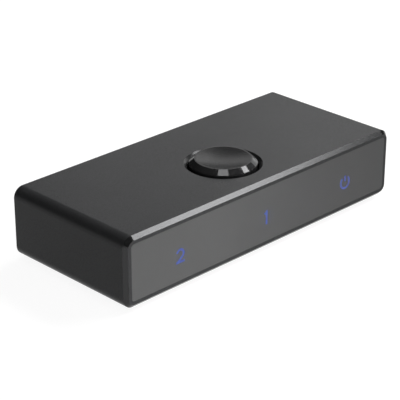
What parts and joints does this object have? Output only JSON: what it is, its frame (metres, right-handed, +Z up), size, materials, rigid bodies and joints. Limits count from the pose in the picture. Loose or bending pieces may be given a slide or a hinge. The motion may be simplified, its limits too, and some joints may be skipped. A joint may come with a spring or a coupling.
{
  "type": "video selector box",
  "caption": "Flat metal box with a round push button on top, lit symbols in front and video sockets behind, which selects the video device that is connected.",
  "frame": {"origin": "centre of the box's footprint, on the table under its feet", "axes": "+X to the right seen from the front, +Y from the lit front to the sockets, +Z up"},
  "size_m": [0.092, 0.04, 0.0203],
  "materials": {
    "anodised_sleeve": "dark grey anodised, fine blasted satin, bevels cut bright",
    "front_panel_plastic": "dark grey moulded satin plastic",
    "rear_panel_metal": "dark grey satin coat",
    "screw_metal": "blackened steel",
    "foot_rubber": "matt black rubber",
    "board_laminate": "green solder mask over glass laminate",
    "shell_metal": "nickel-plated sheet",
    "insulator_plastic": "black moulded plastic",
    "contact_metal": "gold-plated contact strip",
    "button_plastic": "black plastic, dished satin top, glossy bevel",
    "switch_plastic": "black moulded plastic",
    "stem_plastic": "natural moulded plastic",
    "spring_metal": "spring steel",
    "lead_metal": "tinned metal",
    "lamp_resin": "clear resin over a white base",
    "guide_acrylic": "clear acrylic, its tip lit blue",
    "chip_epoxy": "black epoxy",
    "capacitor_ceramic": "tan ceramic with tinned ends",
    "resistor_ceramic": "black glaze with tinned ends",
    "can_metal": "bare drawn can"
  },
  "bodies": {
    "housing": {"housing_sleeve": "anodised_sleeve", "front_panel": "front_panel_plastic", "rear_panel": "rear_panel_metal", "rear_panel_screws": "screw_metal", "rubber_feet": "foot_rubber", "circuit_board": "board_laminate", "power_socket_shell": "shell_metal", "power_socket_insulator": "insulator_plastic", "power_socket_contacts": "contact_metal", "switch_base": "switch_plastic", "switch_dome": "spring_metal", "switch_cover": "shell_metal", "switch_terminals": "lead_metal", "switching_chip": "chip_epoxy", "switching_chip_leads": "lead_metal", "control_chip": "chip_epoxy", "control_chip_leads": "lead_metal", "regulator": "chip_epoxy", "regulator_leads": "lead_metal", "protection_arrays": "chip_epoxy", "ceramic_capacitors": "capacitor_ceramic", "chip_resistors": "resistor_ceramic", "bulk_capacitor_can": "can_metal", "bulk_capacitor_base": "insulator_plastic", "video_socket_shell_2": "shell_metal", "video_socket_insulator_2": "insulator_plastic", "video_socket_contacts_2": "contact_metal", "video_socket_shell_1": "shell_metal", "video_socket_insulator_1": "insulator_plastic", "video_socket_contacts_1": "contact_metal", "video_socket_shell_common": "shell_metal", "video_socket_insulator_common": "insulator_plastic", "video_socket_contacts_common": "contact_metal", "indicator_led_2": "lamp_resin", "light_guide_2": "guide_acrylic", "indicator_led_1": "lamp_resin", "light_guide_1": "guide_acrylic", "indicator_led_power": "lamp_resin", "light_guide_power": "guide_acrylic"},
    "button": {"button_cap": "button_plastic"},
    "stem": {"switch_stem": "stem_plastic"}
  },
  "joints": [
    {"name": "button_press", "type": "slide", "parent": "housing", "child": "button", "axis": [0, 0, -1], "range_m": [0, 0.0005], "stiffness_N_per_m": 3000},
    {"name": "stem_slide", "type": "slide", "parent": "housing", "child": "stem", "axis": [0, 0, -1], "range_m": [0, 0.0005], "deforming": ["switch_dome"]}
  ],
  "couplings": [
    {"joint": "stem_slide", "follows": "button_press", "ratio": 1}
  ]
}
